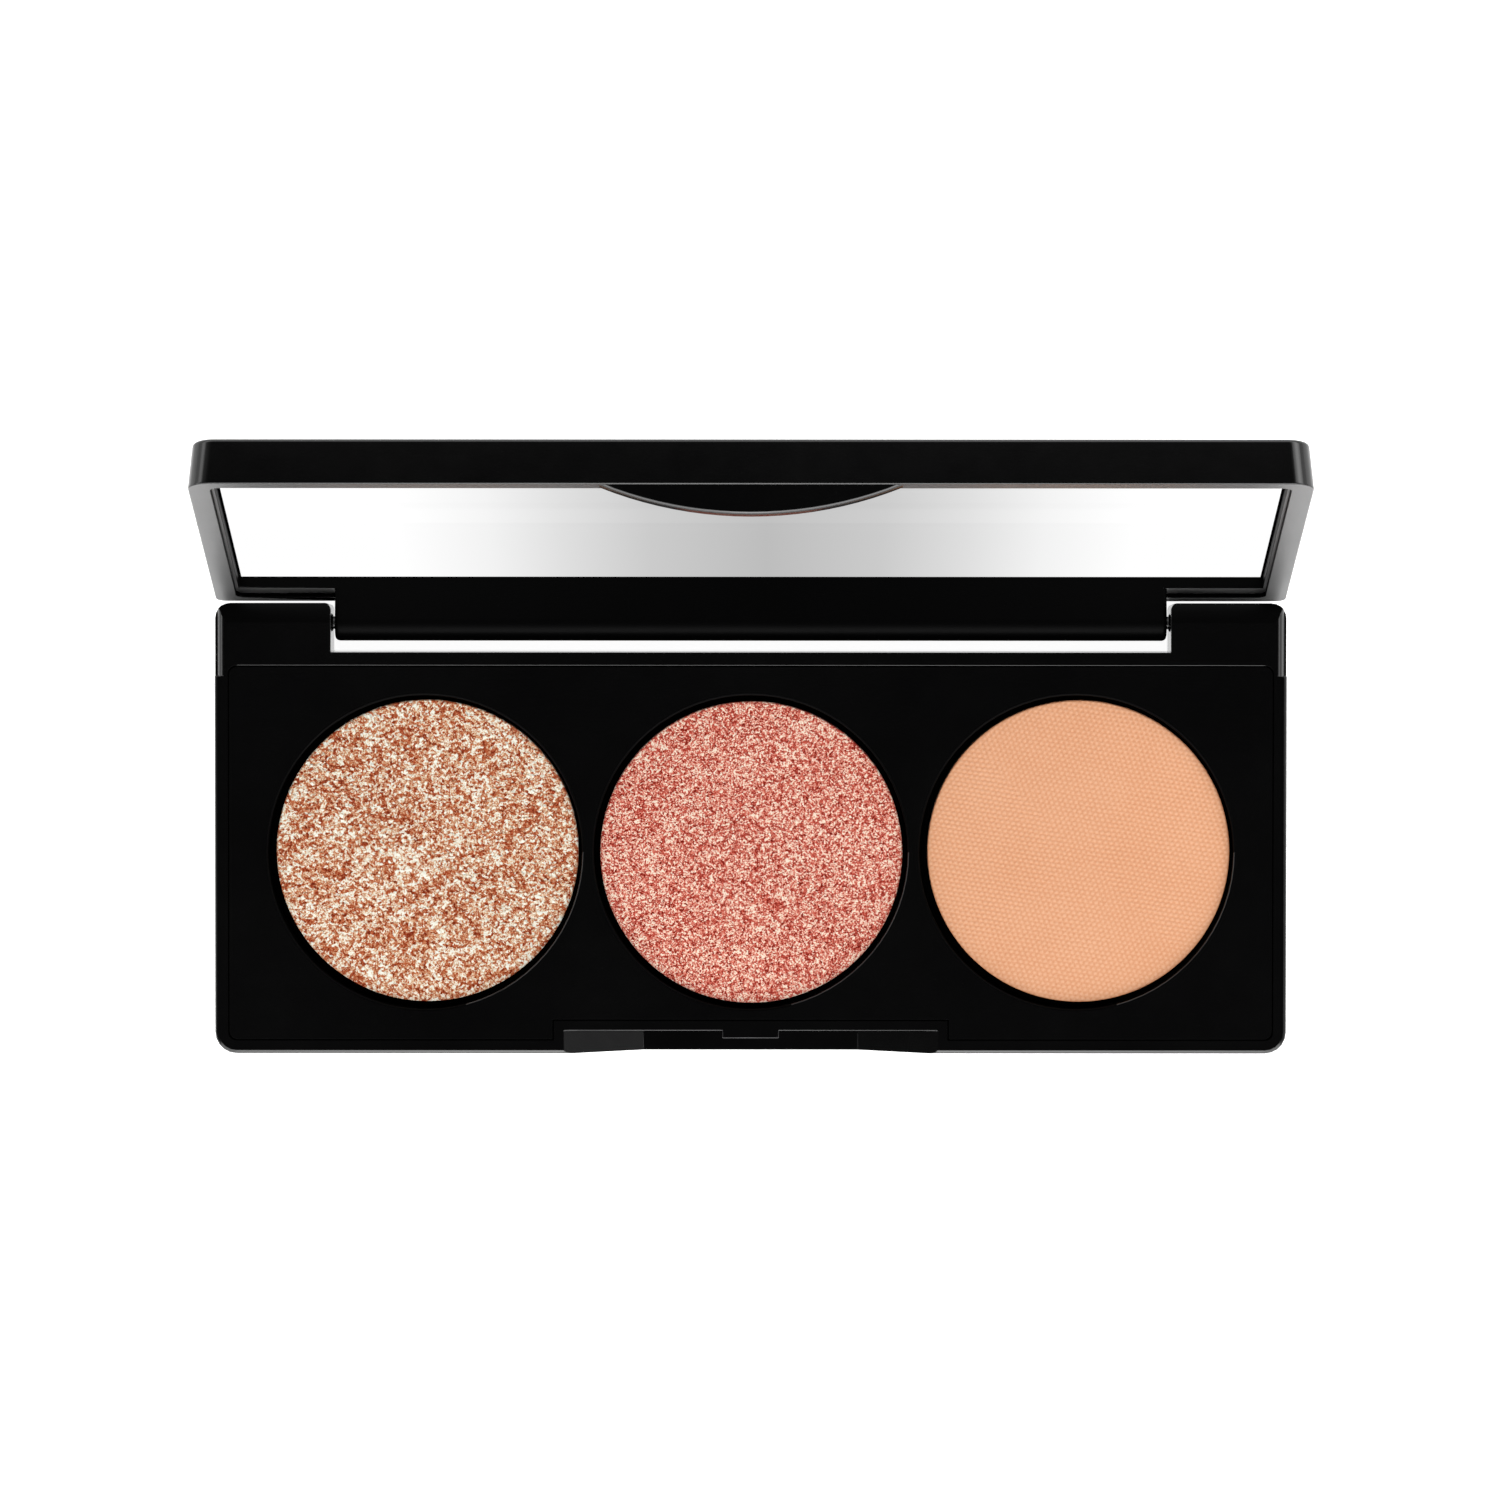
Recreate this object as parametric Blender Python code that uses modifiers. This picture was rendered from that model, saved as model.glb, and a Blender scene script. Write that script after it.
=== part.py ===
"""A slim trio eyeshadow palette: a moulded base with three pans and a mirrored lid on a rear hinge.

The frame is in metres with +Z up. The origin is the centre of the base's footprint, on its
underside. The hinge runs along X at the rear (+Y), and the thumb tab is at the front (-Y).
The lid is modelled shut, round the hinge axis, and its empty turns it open.
"""

import math

import bmesh
import bpy
from mathutils import Matrix, Vector

MM = 0.001

# Pans, and the glue that holds each one in its well
PAN_COUNT = 3
PAN_DIAMETER = 26.0 * MM
PAN_HEIGHT = 3.55 * MM
PAN_WALL = 0.25 * MM
PAN_FLOOR = 0.3 * MM
PAN_FOOT_RADIUS = 0.5 * MM
PAN_DROP = 0.7 * MM  # the pans' rims lie this far under the base's top
PAN_SHIFTS = ((0.2 * MM, 0.13 * MM), (0.05 * MM, 0.0), (0.2 * MM, 0.1 * MM))  # as glued, off centre
POWDER_CLEARANCE = 0.05 * MM
POWDER_CROWN = 0.06 * MM
POWDER_EDGE = 0.15 * MM
GLUE_DIAMETER = 18.0 * MM
GLUE_THICKNESS = 0.2 * MM
BOND_GAP = 0.05 * MM

# Base shell and the tray set into it
WELL_CLEARANCE = 0.5 * MM
WELL_WEB = 1.0 * MM
WELL_LEAD_IN = 0.2 * MM
SIDE_MARGIN = 4.6 * MM
FRONT_ROOM = 0.25 * MM  # between a well's wall and the recess's back wall
REAR_MARGIN = 3.7 * MM
SHELL_WALL = 1.15 * MM
SHELL_FLOOR = 1.0 * MM
SEAM_GAP = 0.1 * MM
TRAY_PLATE = 1.2 * MM
TRAY_FLOOR = 0.65 * MM
WELL_WALL = 0.75 * MM
FRONT_CORNER = 1.85 * MM
REAR_CORNER = 1.3 * MM
BASE_DRAFT = 0.3 * MM
TOP_EDGE = 0.3 * MM
FOOT_EDGE = 0.6 * MM

# Ears that carry the hinge pins
NOTCH_GAP = 0.95 * MM  # between the hinge block and the body
EAR_WIDTH = 10.0 * MM
EAR_RELIEF_LENGTH = 6.3 * MM
EAR_RELIEF = 0.25 * MM
EAR_SHOULDER = 0.8 * MM
EAR_INNER_CORNER = 0.7 * MM

# Hinge
HINGE_INSET = 1.75 * MM  # axis to the rear faces
HINGE_DROP = 2.25 * MM  # axis below the base's top
BARREL_RADIUS = 1.55 * MM
BARREL_EDGE = 0.4 * MM
HINGE_END_GAP = 0.3 * MM
PIN_DIAMETER = 1.1 * MM
PIN_REACH = 4.0 * MM
PIN_CLEARANCE = 0.05 * MM
PIN_CHAMFER = 0.15 * MM
BOSS_DIAMETER = 2.0 * MM
BOSS_HEIGHT = 0.12 * MM
LID_OPEN_ANGLE = math.radians(105.3)

# Thumb tab on the lid, and its recess and catch in the base's front
TAB_WIDTH = 25.0 * MM
TAB_DROP = 2.5 * MM
TAB_THICKNESS = 1.0 * MM
TAB_INSET = 0.1 * MM
TAB_EDGE = 0.35 * MM
TAB_SIDE_ROOM = 3.6 * MM
TAB_FLOOR_ROOM = 0.45 * MM
RECESS_SLOPE = 6.85 * MM  # run of each sloping end
RECESS_WALL = 0.85 * MM
CATCH_WIDTH = 4.84 * MM
CATCH_REACH = 0.65 * MM
CATCH_HEIGHT = 1.4 * MM
CATCH_ROOM = 0.25 * MM

# Lid and mirror
LID_GAP = 0.1 * MM
LID_PANEL = 1.4 * MM
LID_OVERHANG = 0.12 * MM  # past each of the base's sides
LID_REAR_CORNER = 0.9 * MM
LID_DRAFT = 0.3 * MM
LID_TOP_EDGE = 0.35 * MM
LID_RIM_EDGE = 0.1 * MM
RIM_WALL = 1.85 * MM
FRONT_RIM_WALL = 1.45 * MM
REAR_RIM_WALL = 1.4 * MM
RIM_STEP_DEPTH = 0.35 * MM
RIM_STEP_WIDTH = 0.3 * MM
STEP_CORNER = 0.8 * MM
MIRROR_RECESS = 1.3 * MM
MIRROR_THICKNESS = 1.0 * MM
MIRROR_CLEARANCE = 0.1 * MM
TAPE_THICKNESS = 0.15 * MM
TAPE_MARGIN = 3.0 * MM

# Label under the base
LABEL_WIDTH = 52.0 * MM
LABEL_DEPTH = 13.0 * MM
LABEL_THICKNESS = 0.1 * MM
LABEL_POCKET = 0.2 * MM
LABEL_CLEARANCE = 0.3 * MM
LABEL_CORNER = 1.5 * MM
LABEL_OFFSET = 9.6 * MM

# How finely the round parts are cut
ROUND_STEPS = 72
CORNER_STEPS = 5
EDGE_STEPS = 2
BARREL_STEPS = 40
ARC_STEPS = 160
OVERRUN = 1.0 * MM

# Sizes that follow from those above
WELL_RADIUS = PAN_DIAMETER / 2 + WELL_CLEARANCE
WELL_PITCH = 2 * WELL_RADIUS + WELL_WEB
BASE_WIDTH = WELL_PITCH * (PAN_COUNT - 1) + 2 * (WELL_RADIUS + SIDE_MARGIN)
RECESS_DEPTH = TAB_INSET + TAB_THICKNESS + CATCH_ROOM + CATCH_REACH
RECESS_HALF = TAB_WIDTH / 2 + TAB_SIDE_ROOM
RECESS_DROP = TAB_DROP + TAB_FLOOR_ROOM
FRONT_MARGIN = RECESS_DEPTH + RECESS_WALL + WELL_WALL + FRONT_ROOM
BODY_DEPTH = 2 * WELL_RADIUS + FRONT_MARGIN + REAR_MARGIN
EAR_LENGTH = HINGE_INSET + BARREL_RADIUS + NOTCH_GAP
TRAY_BOTTOM = SHELL_FLOOR + SEAM_GAP
GLUE_BOTTOM = TRAY_BOTTOM + TRAY_FLOOR + BOND_GAP
PAN_BOTTOM = GLUE_BOTTOM + GLUE_THICKNESS + BOND_GAP
PAN_TOP = PAN_BOTTOM + PAN_HEIGHT
BASE_HEIGHT = PAN_TOP + PAN_DROP
HALF_WIDTH = BASE_WIDTH / 2
REAR = (BODY_DEPTH + EAR_LENGTH) / 2
FRONT = -REAR
BODY_REAR = FRONT + BODY_DEPTH
WELL_Y = FRONT + FRONT_MARGIN + WELL_RADIUS
NOTCH_HALF = HALF_WIDTH - EAR_WIDTH
AXIS_Y = REAR - HINGE_INSET
AXIS_Z = BASE_HEIGHT - HINGE_DROP
BLOCK_HALF = NOTCH_HALF - HINGE_END_GAP

# The shut lid's places, measured from the hinge axis
RIM_Z = HINGE_DROP + LID_GAP
MIRROR_Z = RIM_Z + MIRROR_RECESS
TAPE_Z = MIRROR_Z + MIRROR_THICKNESS + BOND_GAP
PANEL_Z = TAPE_Z + TAPE_THICKNESS + BOND_GAP
LID_TOP_Z = PANEL_Z + LID_PANEL
LID_REAR = HINGE_INSET
LID_FRONT = FRONT - AXIS_Y
LID_HALF_WIDTH = HALF_WIDTH + LID_OVERHANG


def clear_scene():
    for obj in list(bpy.data.objects):
        bpy.data.objects.remove(obj, do_unlink=True)


def new_collection(name):
    collection = bpy.data.collections.new(name)
    bpy.context.scene.collection.children.link(collection)
    return collection


def material(name, colour, roughness, metallic=0.0):
    made = bpy.data.materials.new(name)
    made.use_nodes = True
    shader = made.node_tree.nodes["Principled BSDF"]
    shader.inputs["Base Color"].default_value = (*colour, 1.0)
    shader.inputs["Roughness"].default_value = roughness
    shader.inputs["Metallic"].default_value = metallic
    return made


clear_scene()
PARTS = new_collection("eyeshadow_palette")
CUTTERS = new_collection("cutters")

BLACK_PLASTIC = material("black_plastic", (0.006, 0.006, 0.007), 0.22)
SILVER_MIRROR = material("silver_mirror", (0.86, 0.87, 0.88), 0.03, 1.0)
FOAM_TAPE = material("foam_tape", (0.55, 0.55, 0.52), 0.8)
STEEL = material("hinge_steel", (0.5, 0.5, 0.5), 0.3, 1.0)
TINPLATE = material("tinplate", (0.62, 0.62, 0.62), 0.3, 1.0)
GLUE = material("glue", (0.7, 0.65, 0.5), 0.5)
LABEL_PAPER = material("label_paper", (0.75, 0.75, 0.75), 0.6)
POWDERS = (
    ("powder_left", material("champagne_glitter", (0.72, 0.42, 0.27), 0.45)),
    ("powder_middle", material("rose_shimmer", (0.66, 0.22, 0.17), 0.45)),
    ("powder_right", material("peach_matte", (0.88, 0.47, 0.25), 0.9)),
)


def add(name, mesh, surface=None, parent=None):
    """Links a part, or a cutter where no surface is given."""
    obj = bpy.data.objects.new(name, mesh)
    if surface is None:
        CUTTERS.objects.link(obj)
        obj.hide_render = True
        obj.display_type = "WIRE"
    else:
        PARTS.objects.link(obj)
        mesh.materials.append(surface)
    obj.parent = parent
    return obj


def mesh_from(bm, name):
    bmesh.ops.recalc_face_normals(bm, faces=bm.faces)
    mesh = bpy.data.meshes.new(name)
    bm.to_mesh(mesh)
    bm.free()
    mesh.shade_smooth()
    mesh.set_sharp_from_angle(angle=math.radians(35))
    return mesh


def cube(low, high):
    """A bmesh box from its lowest to its highest corner."""
    bm = bmesh.new()
    bmesh.ops.create_cube(bm, size=1.0)
    low, high = Vector(low), Vector(high)
    bmesh.ops.scale(bm, vec=high - low, verts=bm.verts)
    bmesh.ops.translate(bm, vec=(low + high) / 2, verts=bm.verts)
    return bm


def bevel(bm, edges, width, steps):
    bmesh.ops.bevel(bm, geom=edges, offset=width, segments=steps, profile=0.5, affect="EDGES")


def upright_edges(bm, y_test):
    return [
        edge
        for edge in bm.edges
        if abs((edge.verts[0].co - edge.verts[1].co).normalized().z) > 0.9
        and y_test(edge.verts[0].co.y)
    ]


def edges_at_height(bm, z):
    return [edge for edge in bm.edges if all(abs(v.co.z - z) < 1e-7 for v in edge.verts)]


def rounded_box(low, high, front_radius, rear_radius):
    """A box whose upright edges are rounded, each end with its own radius."""
    bm = cube(low, high)
    middle = (low[1] + high[1]) / 2
    bevel(bm, upright_edges(bm, lambda y: y < middle), front_radius, CORNER_STEPS)
    bevel(bm, upright_edges(bm, lambda y: y > middle), rear_radius, CORNER_STEPS)
    return bm


def draw_in(bm, z, inset):
    """Moves the outline at one height in, for the draft of the sides."""
    ring = [v for v in bm.verts if abs(v.co.z - z) < 1e-7]
    half_x = max(abs(v.co.x) for v in ring)
    low_y = min(v.co.y for v in ring)
    high_y = max(v.co.y for v in ring)
    middle_y = (low_y + high_y) / 2
    half_y = (high_y - low_y) / 2
    for v in ring:
        v.co.x *= (half_x - inset) / half_x
        v.co.y = middle_y + (v.co.y - middle_y) * (half_y - inset) / half_y


def rod(radius, low_x, high_x, steps, chamfer=0.0):
    """A rod along X, centred on the X axis."""
    bm = bmesh.new()
    length = high_x - low_x
    bmesh.ops.create_cone(
        bm, cap_ends=True, segments=steps, radius1=radius, radius2=radius, depth=length
    )
    if chamfer:
        rims = [edge for edge in bm.edges if abs(edge.verts[0].co.z - edge.verts[1].co.z) < 1e-7]
        bevel(bm, rims, chamfer, 1)
    bmesh.ops.rotate(bm, matrix=Matrix.Rotation(math.pi / 2, 3, "Y"), verts=bm.verts)
    bmesh.ops.translate(bm, vec=((low_x + high_x) / 2, 0, 0), verts=bm.verts)
    return bm


def turned(name, profile, surface=None):
    """A turned shape from (radius, height) points that run down its outer side."""
    mesh = bpy.data.meshes.new(name)
    corners = [(radius, 0.0, height) for radius, height in profile]
    mesh.from_pydata(corners, [(i, i + 1) for i in range(len(corners) - 1)], [])
    obj = add(name, mesh, surface)
    screw = obj.modifiers.new("turn", "SCREW")
    screw.steps = ROUND_STEPS
    screw.render_steps = ROUND_STEPS
    screw.use_merge_vertices = True
    screw.merge_threshold = 1e-6
    screw.use_smooth_shade = True
    return obj


def boolean(target, other, operation):
    modifier = target.modifiers.new(other.name, "BOOLEAN")
    modifier.operation = operation
    modifier.object = other
    modifier.solver = "EXACT"


def cut(target, cutter):
    boolean(target, cutter, "DIFFERENCE")


def join(target, other):
    boolean(target, other, "UNION")


def helper(name, bm, parent=None):
    return add(name, mesh_from(bm, name), parent=parent)


def arc(centre, radius, start, end, steps):
    """Points on an arc in the profile plane, from one angle to another in degrees."""
    points = []
    for i in range(steps + 1):
        angle = math.radians(start + (end - start) * i / steps)
        points.append((centre[0] + radius * math.cos(angle), centre[1] + radius * math.sin(angle)))
    return points


def well_centres():
    first = -WELL_PITCH * (PAN_COUNT - 1) / 2
    return [first + WELL_PITCH * i for i in range(PAN_COUNT)]


def boss_cone(name, side):
    """A low cone round a pin, left standing on an ear's inner face where the notch is cut."""
    bm = bmesh.new()
    bmesh.ops.create_cone(
        bm,
        cap_ends=True,
        segments=BARREL_STEPS,
        radius1=BOSS_DIAMETER / 2 + OVERRUN / 2,
        radius2=PIN_DIAMETER / 2 + 2 * PIN_CLEARANCE,
        depth=BOSS_HEIGHT + OVERRUN / 2,
    )
    bmesh.ops.rotate(bm, matrix=Matrix.Rotation(-side * math.pi / 2, 3, "Y"), verts=bm.verts)
    middle = NOTCH_HALF + (OVERRUN / 2 - BOSS_HEIGHT) / 2
    bmesh.ops.translate(bm, vec=(side * middle, AXIS_Y, AXIS_Z), verts=bm.verts)
    return helper(name, bm)


def build_base_shell():
    bm = rounded_box(
        (-HALF_WIDTH, FRONT, 0), (HALF_WIDTH, REAR, BASE_HEIGHT), FRONT_CORNER, REAR_CORNER
    )
    draw_in(bm, 0, BASE_DRAFT)
    bevel(bm, edges_at_height(bm, BASE_HEIGHT), TOP_EDGE, EDGE_STEPS)
    bevel(bm, edges_at_height(bm, 0), FOOT_EDGE, EDGE_STEPS + 1)
    shell = add("base_shell", mesh_from(bm, "base_shell"), BLACK_PLASTIC)

    over = BASE_HEIGHT + OVERRUN
    notch = helper(
        "hinge_notch",
        cube((-NOTCH_HALF, BODY_REAR, -OVERRUN), (NOTCH_HALF, REAR + OVERRUN, over)),
    )
    for side in (-1, 1):
        cut(notch, boss_cone(f"pin_boss_{side}", side))
    cut(shell, notch)

    # The ears' tops turn down over the hinge, so that the lid's rim swings past them.
    round_off = helper(
        "ear_round_off",
        cube((-HALF_WIDTH - OVERRUN, AXIS_Y, AXIS_Z), (HALF_WIDTH + OVERRUN, REAR + OVERRUN, over)),
    )
    keep = rod(HINGE_DROP, -HALF_WIDTH - 2 * OVERRUN, HALF_WIDTH + 2 * OVERRUN, ROUND_STEPS)
    bmesh.ops.translate(keep, vec=(0, AXIS_Y, AXIS_Z), verts=keep.verts)
    cut(round_off, helper("ear_round", keep))
    cut(shell, round_off)

    for side in (-1, 1):
        # The ears' outer top edges have a broad round shoulder, a little inside the body's sides.
        outer = side * (HALF_WIDTH + OVERRUN)
        inner = side * (HALF_WIDTH - EAR_RELIEF - EAR_SHOULDER)
        low_x, high_x = min(outer, inner), max(outer, inner)
        shoulder = helper(
            f"ear_shoulder_{side}",
            cube(
                (low_x, REAR - EAR_RELIEF_LENGTH, BASE_HEIGHT - EAR_SHOULDER),
                (high_x, REAR + OVERRUN, over),
            ),
        )
        keep = rod(EAR_SHOULDER, -2 * REAR, 2 * REAR, BARREL_STEPS)
        bmesh.ops.rotate(keep, matrix=Matrix.Rotation(math.pi / 2, 3, "Z"), verts=keep.verts)
        bmesh.ops.translate(keep, vec=(inner, 0, BASE_HEIGHT - EAR_SHOULDER), verts=keep.verts)
        cut(shoulder, helper(f"ear_shoulder_round_{side}", keep))
        cut(shell, shoulder)

        inner_x = sorted((side * (NOTCH_HALF - OVERRUN), side * (NOTCH_HALF + EAR_INNER_CORNER)))
        corner = helper(
            f"ear_corner_{side}",
            cube((inner_x[0], REAR - EAR_INNER_CORNER, -OVERRUN), (inner_x[1], REAR + OVERRUN, over)),
        )
        keep = rod(EAR_INNER_CORNER, -2 * over, 2 * over, BARREL_STEPS)
        bmesh.ops.rotate(keep, matrix=Matrix.Rotation(math.pi / 2, 3, "Y"), verts=keep.verts)
        corner_x = side * (NOTCH_HALF + EAR_INNER_CORNER)
        bmesh.ops.translate(keep, vec=(corner_x, REAR - EAR_INNER_CORNER, 0), verts=keep.verts)
        cut(corner, helper(f"ear_corner_round_{side}", keep))
        cut(shell, corner)

        tip = NOTCH_HALF + PIN_REACH + PIN_CLEARANCE
        start = NOTCH_HALF - OVERRUN
        hole = rod(
            PIN_DIAMETER / 2 + PIN_CLEARANCE, min(side * start, side * tip),
            max(side * start, side * tip), BARREL_STEPS,
        )
        bmesh.ops.translate(hole, vec=(0, AXIS_Y, AXIS_Z), verts=hole.verts)
        cut(shell, helper(f"ear_pin_hole_{side}", hole))

    # The recess for the thumb tab: its ends slope down to a flat floor.
    recess = cube(
        (-RECESS_HALF, FRONT - OVERRUN, BASE_HEIGHT - RECESS_DROP),
        (RECESS_HALF, FRONT + RECESS_DEPTH, BASE_HEIGHT),
    )
    for v in recess.verts:
        if v.co.z < BASE_HEIGHT - RECESS_DROP / 2:
            v.co.x *= (RECESS_HALF - RECESS_SLOPE) / RECESS_HALF
    lid = [face for face in recess.faces if face.normal.z > 0.9]
    raised = bmesh.ops.extrude_face_region(recess, geom=lid)["geom"]
    bmesh.ops.delete(recess, geom=lid, context="FACES_ONLY")
    top = [item for item in raised if isinstance(item, bmesh.types.BMVert)]
    bmesh.ops.translate(recess, vec=(0, 0, OVERRUN), verts=top)
    cut(shell, helper("tab_recess", recess))
    catch = cube(
        (-CATCH_WIDTH / 2, FRONT + RECESS_DEPTH - CATCH_REACH, BASE_HEIGHT - CATCH_HEIGHT),
        (CATCH_WIDTH / 2, FRONT + RECESS_DEPTH + RECESS_WALL / 2, BASE_HEIGHT),
    )
    join(shell, helper("catch", catch))

    pocket = helper(
        "tray_pocket",
        rounded_box(
            (-HALF_WIDTH + SHELL_WALL, FRONT + SHELL_WALL, SHELL_FLOOR),
            (HALF_WIDTH - SHELL_WALL, BODY_REAR - SHELL_WALL, over),
            FRONT_CORNER - SHELL_WALL, FRONT_CORNER - SHELL_WALL,
        ),
    )
    recess_back = cube(
        (-RECESS_HALF - RECESS_WALL, FRONT, 0),
        (RECESS_HALF + RECESS_WALL, FRONT + RECESS_DEPTH + RECESS_WALL, over + OVERRUN),
    )
    cut(pocket, helper("recess_back", recess_back))
    cut(shell, pocket)

    label_low = (
        -LABEL_WIDTH / 2 - LABEL_CLEARANCE, -LABEL_OFFSET - LABEL_DEPTH / 2 - LABEL_CLEARANCE,
        -OVERRUN,
    )
    label_high = (
        LABEL_WIDTH / 2 + LABEL_CLEARANCE, -LABEL_OFFSET + LABEL_DEPTH / 2 + LABEL_CLEARANCE,
        LABEL_POCKET,
    )
    cut(shell, helper("label_pocket", rounded_box(label_low, label_high, LABEL_CORNER, LABEL_CORNER)))


def build_base_label():
    gap = (LABEL_POCKET - LABEL_THICKNESS) / 2
    bm = rounded_box(
        (-LABEL_WIDTH / 2, -LABEL_OFFSET - LABEL_DEPTH / 2, gap),
        (LABEL_WIDTH / 2, -LABEL_OFFSET + LABEL_DEPTH / 2, gap + LABEL_THICKNESS),
        LABEL_CORNER, LABEL_CORNER,
    )
    add("base_label", mesh_from(bm, "base_label"), LABEL_PAPER)


def build_pan_tray():
    inset = SHELL_WALL + SEAM_GAP
    corner = FRONT_CORNER - SHELL_WALL
    bm = rounded_box(
        (-HALF_WIDTH + inset, FRONT + inset, BASE_HEIGHT - TRAY_PLATE),
        (HALF_WIDTH - inset, BODY_REAR - inset, BASE_HEIGHT),
        corner, corner,
    )
    tray = add("pan_tray", mesh_from(bm, "pan_tray"), BLACK_PLASTIC)
    room = RECESS_WALL + SEAM_GAP
    front_notch = cube(
        (-RECESS_HALF - room, FRONT, 0),
        (RECESS_HALF + room, FRONT + RECESS_DEPTH + room, BASE_HEIGHT + OVERRUN),
    )
    cut(tray, helper("tray_notch", front_notch))
    outer = WELL_RADIUS + WELL_WALL
    cup_top = BASE_HEIGHT - TRAY_PLATE / 2
    for i, x in enumerate(well_centres()):
        cup = turned(
            f"well_cup_{i}",
            [(0, cup_top), (outer, cup_top), (outer, TRAY_BOTTOM), (0, TRAY_BOTTOM)],
        )
        cup.location = (x, WELL_Y, 0)
        join(tray, cup)
    for i, x in enumerate(well_centres()):
        lip = arc(
            (WELL_RADIUS + WELL_LEAD_IN, BASE_HEIGHT - WELL_LEAD_IN), WELL_LEAD_IN, 90, 180, 3
        )
        top = BASE_HEIGHT + OVERRUN
        floor = TRAY_BOTTOM + TRAY_FLOOR
        bore = turned(
            f"well_bore_{i}",
            [(0, top), (lip[0][0], top)] + lip + [(WELL_RADIUS, floor), (0, floor)],
        )
        bore.location = (x, WELL_Y, 0)
        cut(tray, bore)


def build_pans():
    """Each pan's steel cup, its pressed powder and the glue under it."""
    outer = PAN_DIAMETER / 2
    inner = outer - PAN_WALL
    floor = PAN_BOTTOM + PAN_FLOOR
    foot = arc(
        (outer - PAN_FOOT_RADIUS, PAN_BOTTOM + PAN_FOOT_RADIUS), PAN_FOOT_RADIUS, 0, -90, 3
    )
    cup = [(0, floor), (inner - PAN_FOOT_RADIUS, floor), (inner, floor + PAN_FOOT_RADIUS)]
    cup += [(inner, PAN_TOP), (outer, PAN_TOP)] + foot + [(0, PAN_BOTTOM)]

    cake = inner - POWDER_CLEARANCE
    under = floor + POWDER_CLEARANCE
    edge = arc((cake - POWDER_EDGE, PAN_TOP - POWDER_EDGE), POWDER_EDGE, 90, 0, 3)
    powder = [(0, PAN_TOP + POWDER_CROWN), (cake / 2, PAN_TOP + POWDER_CROWN * 0.75)] + edge
    powder += [(cake, under + PAN_FOOT_RADIUS), (cake - PAN_FOOT_RADIUS, under), (0, under)]

    glue_top = GLUE_BOTTOM + GLUE_THICKNESS
    glue_radius = GLUE_DIAMETER / 2
    glue = [(0, glue_top), (glue_radius, glue_top), (glue_radius, GLUE_BOTTOM), (0, GLUE_BOTTOM)]

    for x, shift, (powder_name, powder_surface) in zip(well_centres(), PAN_SHIFTS, POWDERS):
        side = powder_name.removeprefix("powder_")
        for obj in (
            turned(f"pan_{side}", cup, TINPLATE),
            turned(powder_name, powder, powder_surface),
            turned(f"pan_glue_{side}", glue, GLUE),
        ):
            obj.location = (x + shift[0], WELL_Y + shift[1], 0)


def build_hinge_pins():
    for side, name in ((-1, "hinge_pin_left"), (1, "hinge_pin_right")):
        ends = sorted((side * (BLOCK_HALF - PIN_REACH), side * (NOTCH_HALF + PIN_REACH)))
        bm = rod(PIN_DIAMETER / 2, ends[0], ends[1], BARREL_STEPS // 2, PIN_CHAMFER)
        pin = add(name, mesh_from(bm, name), STEEL)
        pin.location = (0, AXIS_Y, AXIS_Z)


def lid_hinge():
    """The empty on the hinge axis, which turns the shut lid to where it stands open."""
    hinge = bpy.data.objects.new("lid_hinge", None)
    PARTS.objects.link(hinge)
    hinge.location = (0, AXIS_Y, AXIS_Z)
    hinge.rotation_euler = (-LID_OPEN_ANGLE, 0, 0)
    return hinge


def hinge_block():
    """The lid's barrel round the axis, carried up as a block into the lid's rear wall."""
    bm = bmesh.new()
    profile = arc((0, 0), BARREL_RADIUS, 180, 360, BARREL_STEPS // 2)
    profile += [(BARREL_RADIUS, PANEL_Z), (-BARREL_RADIUS, PANEL_Z)]
    end = bm.faces.new([bm.verts.new((-BLOCK_HALF, y, z)) for y, z in profile])
    raised = bmesh.ops.extrude_face_region(bm, geom=[end])["geom"]
    far = [item for item in raised if isinstance(item, bmesh.types.BMVert)]
    bmesh.ops.translate(bm, vec=(2 * BLOCK_HALF, 0, 0), verts=far)
    rims = [edge for edge in bm.edges if abs(edge.verts[0].co.x - edge.verts[1].co.x) < 1e-7]
    bevel(bm, rims, BARREL_EDGE, EDGE_STEPS + 1)
    return bm


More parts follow.
